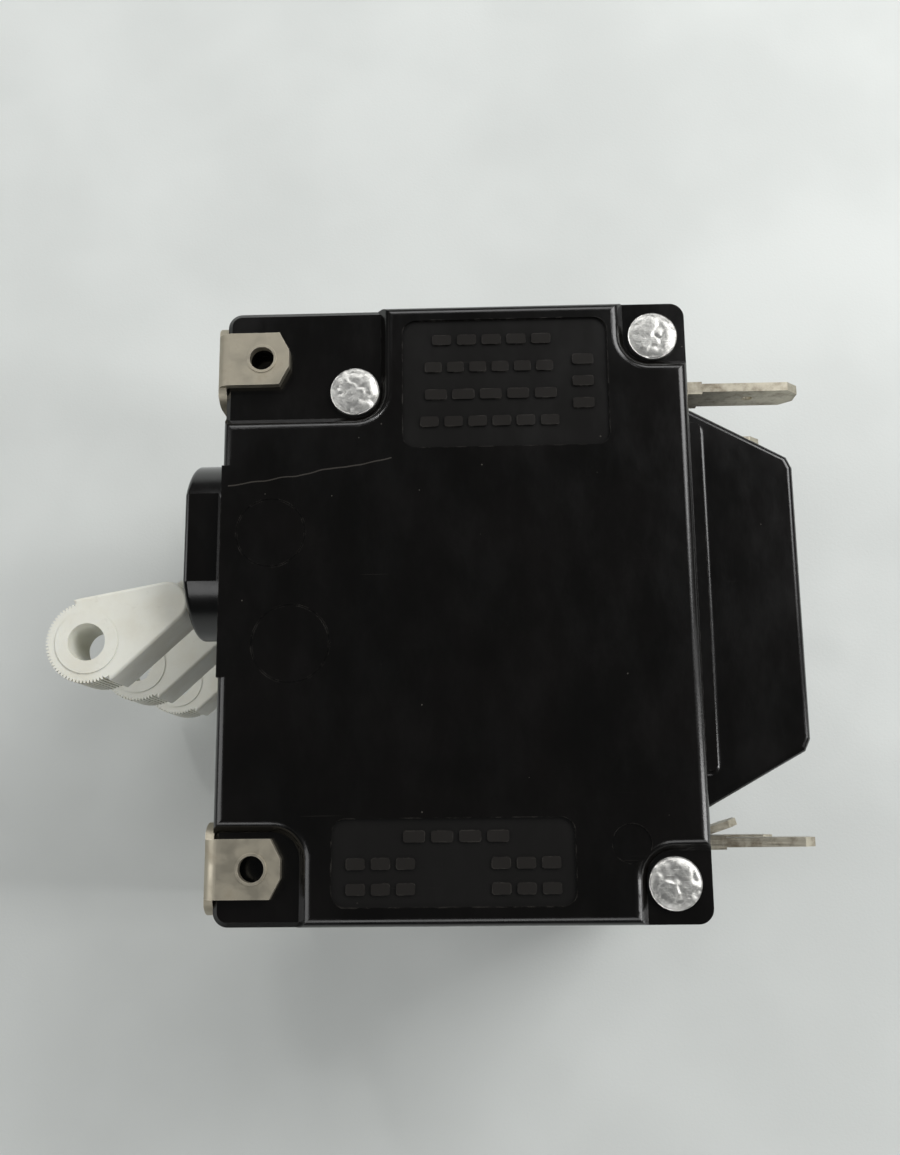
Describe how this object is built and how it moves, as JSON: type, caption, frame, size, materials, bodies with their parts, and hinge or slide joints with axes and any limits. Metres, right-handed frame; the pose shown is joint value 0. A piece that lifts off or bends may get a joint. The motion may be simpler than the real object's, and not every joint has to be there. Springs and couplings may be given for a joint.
{
  "type": "motor protection breaker",
  "caption": "Panel-mounted multi-pole motor protection breaker with toggle handles, plug-on blades, front mounting clips and an arc chamber at the back of each pole.",
  "frame": {"origin": "in the panel seat plane (front faces of the mounting clips), at the middle of the panel screw pattern, on the centre pole's middle plane", "axes": "+X from the panel into the case, +Y the ON direction (up on a panel), +Z across the poles; the part lies on its left pole's side, at low Z"},
  "size_m": [0.0814, 0.0636, 0.0572],
  "materials": {
    "case": "moulded black phenolic, semi-gloss",
    "clip": "bright plated steel strip",
    "rivet": "peened aluminium",
    "handle": "moulded white thermoset",
    "blade": "tinned brass blade",
    "spring": "spring wire",
    "link_steel": "stamped steel",
    "pin_steel": "ground steel pin",
    "copper": "copper",
    "silver": "silver contact alloy",
    "iron": "soft iron, grey",
    "winding": "enamelled copper winding",
    "tube": "drawn brass tube",
    "bar": "moulded brown phenolic"
  },
  "bodies": {
    "case": {"left_case_base": "case", "left_case_cover": "case", "left_mounting_clips": "clip", "left_handle_spring": "spring", "left_pivot_pins": "pin_steel", "left_opening_spring": "spring", "left_line_terminal": "blade", "left_fixed_contact": "silver", "left_arc_plates": "iron", "left_magnet_frame": "iron", "left_coil": "winding", "left_dashpot_tube": "tube", "left_load_terminal": "blade", "centre_case_base": "case", "centre_case_cover": "case", "centre_mounting_clips": "clip", "centre_handle_spring": "spring", "centre_pivot_pins": "pin_steel", "centre_opening_spring": "spring", "centre_line_terminal": "blade", "centre_fixed_contact": "silver", "centre_arc_plates": "iron", "centre_magnet_frame": "iron", "centre_coil": "winding", "centre_dashpot_tube": "tube", "centre_load_terminal": "blade", "right_case_base": "case", "right_case_cover": "case", "right_mounting_clips": "clip", "right_handle_spring": "spring", "right_pivot_pins": "pin_steel", "right_opening_spring": "spring", "right_line_terminal": "blade", "right_fixed_contact": "silver", "right_arc_plates": "iron", "right_magnet_frame": "iron", "right_coil": "winding", "right_dashpot_tube": "tube", "right_load_terminal": "blade", "case_rivets": "rivet", "flexible_braids": "copper"},
    "left_handle": {"left_handle": "handle"},
    "left_link": {"left_toggle_link": "link_steel"},
    "left_arm": {"left_contact_arm": "copper", "left_moving_contact": "silver"},
    "left_armature": {"left_armature": "iron"},
    "left_latch": {"left_trip_latch": "link_steel"},
    "centre_handle": {"centre_handle": "handle"},
    "centre_link": {"centre_toggle_link": "link_steel"},
    "centre_arm": {"centre_contact_arm": "copper", "centre_moving_contact": "silver"},
    "centre_armature": {"centre_armature": "iron"},
    "centre_latch": {"centre_trip_latch": "link_steel"},
    "right_handle": {"right_handle": "handle"},
    "right_link": {"right_toggle_link": "link_steel"},
    "right_arm": {"right_contact_arm": "copper", "right_moving_contact": "silver"},
    "right_armature": {"right_armature": "iron"},
    "right_latch": {"right_trip_latch": "link_steel"},
    "trip_bar": {"common_trip_bar": "bar"}
  },
  "joints": [
    {"name": "left_handle_swing", "type": "hinge", "parent": "case", "child": "left_handle", "pos_m": [0.0059, 0.0072, -0.01905], "axis": [0, 0, -1], "range_deg": [0, 52.8], "deforming": ["left_handle_spring"]},
    {"name": "left_link_turn", "type": "hinge", "parent": "left_handle", "child": "left_link", "pos_m": [0.01127, 0.00987, -0.01905], "axis": [0, 0, 1], "range_deg": [0, 52.8]},
    {"name": "left_arm_swing", "type": "hinge", "parent": "case", "child": "left_arm", "pos_m": [0.0259, -0.0008, -0.01905], "axis": [0, 0, 1], "range_deg": [0, 21.97], "deforming": ["left_opening_spring", "flexible_braids"]},
    {"name": "left_armature_pull", "type": "hinge", "parent": "case", "child": "left_armature", "pos_m": [0.0272, -0.0072, -0.01905], "axis": [0, 0, -1], "range_deg": [0, 8], "stiffness_Nm_per_rad": 0.002, "springref_deg": -2.86},
    {"name": "left_latch_turn", "type": "hinge", "parent": "case", "child": "left_latch", "pos_m": [0.0126, -0.0105, -0.01905], "axis": [0, 0, 1], "range_deg": [0, 21]},
    {"name": "centre_handle_swing", "type": "hinge", "parent": "case", "child": "centre_handle", "pos_m": [0.0059, 0.0072, 0], "axis": [0, 0, -1], "range_deg": [0, 52.8], "deforming": ["centre_handle_spring"]},
    {"name": "centre_link_turn", "type": "hinge", "parent": "centre_handle", "child": "centre_link", "pos_m": [0.01127, 0.00987, 0], "axis": [0, 0, 1], "range_deg": [0, 52.8]},
    {"name": "centre_arm_swing", "type": "hinge", "parent": "case", "child": "centre_arm", "pos_m": [0.0259, -0.0008, 0], "axis": [0, 0, 1], "range_deg": [0, 21.97], "deforming": ["centre_opening_spring"]},
    {"name": "centre_armature_pull", "type": "hinge", "parent": "case", "child": "centre_armature", "pos_m": [0.0272, -0.0072, 0], "axis": [0, 0, -1], "range_deg": [0, 8], "stiffness_Nm_per_rad": 0.002, "springref_deg": -2.86},
    {"name": "centre_latch_turn", "type": "hinge", "parent": "case", "child": "centre_latch", "pos_m": [0.0126, -0.0105, 0], "axis": [0, 0, 1], "range_deg": [0, 21]},
    {"name": "right_handle_swing", "type": "hinge", "parent": "case", "child": "right_handle", "pos_m": [0.0059, 0.0072, 0.01905], "axis": [0, 0, -1], "range_deg": [0, 52.8], "deforming": ["right_handle_spring"]},
    {"name": "right_link_turn", "type": "hinge", "parent": "right_handle", "child": "right_link", "pos_m": [0.01127, 0.00987, 0.01905], "axis": [0, 0, 1], "range_deg": [0, 52.8]},
    {"name": "right_arm_swing", "type": "hinge", "parent": "case", "child": "right_arm", "pos_m": [0.0259, -0.0008, 0.01905], "axis": [0, 0, 1], "range_deg": [0, 21.97], "deforming": ["right_opening_spring"]},
    {"name": "right_armature_pull", "type": "hinge", "parent": "case", "child": "right_armature", "pos_m": [0.0272, -0.0072, 0.01905], "axis": [0, 0, -1], "range_deg": [0, 8], "stiffness_Nm_per_rad": 0.002, "springref_deg": -2.86},
    {"name": "right_latch_turn", "type": "hinge", "parent": "case", "child": "right_latch", "pos_m": [0.0126, -0.0105, 0.01905], "axis": [0, 0, 1], "range_deg": [0, 21]},
    {"name": "trip_bar_turn", "type": "hinge", "parent": "case", "child": "trip_bar", "pos_m": [0.0074, -0.0054, 0], "axis": [0, 0, -1], "range_deg": [0, 12], "stiffness_Nm_per_rad": 0.0001, "springref_deg": -2.86}
  ],
  "couplings": [
    {"joint": "left_link_turn", "follows": "left_handle_swing", "ratio": 1},
    {"joint": "left_arm_swing", "follows": "left_handle_swing", "ratio": 0.41611},
    {"joint": "left_latch_turn", "follows": "left_armature_pull", "ratio": 2.625},
    {"joint": "centre_link_turn", "follows": "centre_handle_swing", "ratio": 1},
    {"joint": "centre_arm_swing", "follows": "centre_handle_swing", "ratio": 0.41611},
    {"joint": "centre_latch_turn", "follows": "centre_armature_pull", "ratio": 2.625},
    {"joint": "right_link_turn", "follows": "right_handle_swing", "ratio": 1},
    {"joint": "right_arm_swing", "follows": "right_handle_swing", "ratio": 0.41611},
    {"joint": "right_latch_turn", "follows": "right_armature_pull", "ratio": 2.625}
  ]
}
